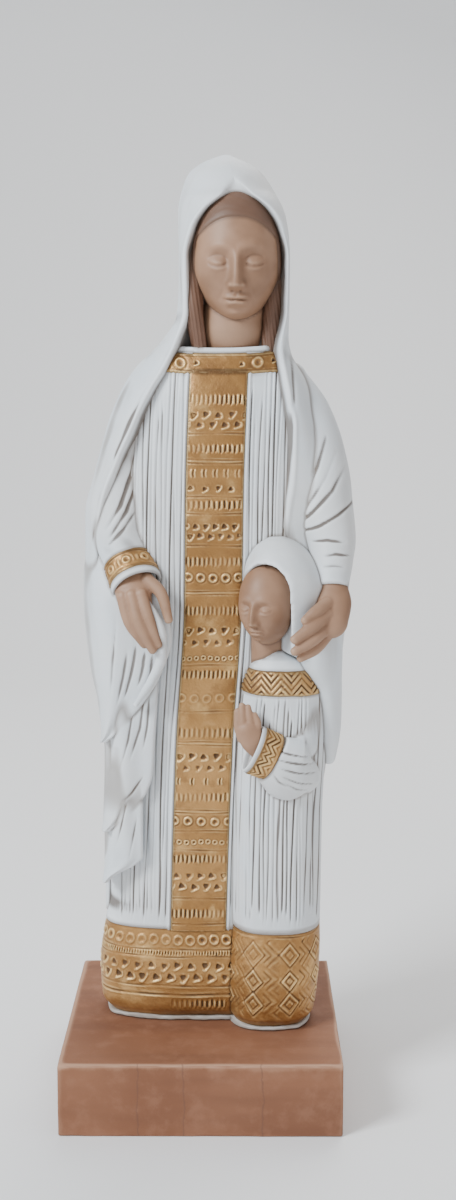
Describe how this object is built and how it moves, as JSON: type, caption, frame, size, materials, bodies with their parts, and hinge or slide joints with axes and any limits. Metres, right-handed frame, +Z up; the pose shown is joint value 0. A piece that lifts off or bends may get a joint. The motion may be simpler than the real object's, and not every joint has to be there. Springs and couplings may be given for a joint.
{
  "type": "statue of saint anne with the child mary",
  "caption": "Standing robed saint with a child before her, cast as one group with gold stamped trim, on a square block.",
  "frame": {"origin": "middle of the block's underside", "axes": "+Z up; the figures face -Y; +X is to the viewer's right"},
  "size_m": [0.1998, 0.19, 0.6503],
  "materials": {
    "painted_cast_stone": "white painted cast stone with gold and flesh tones, matte",
    "brown_block": "matte reddish brown, worn edges"
  },
  "bodies": {
    "root": {"statue": "painted_cast_stone", "plinth": "brown_block"}
  },
  "joints": []
}
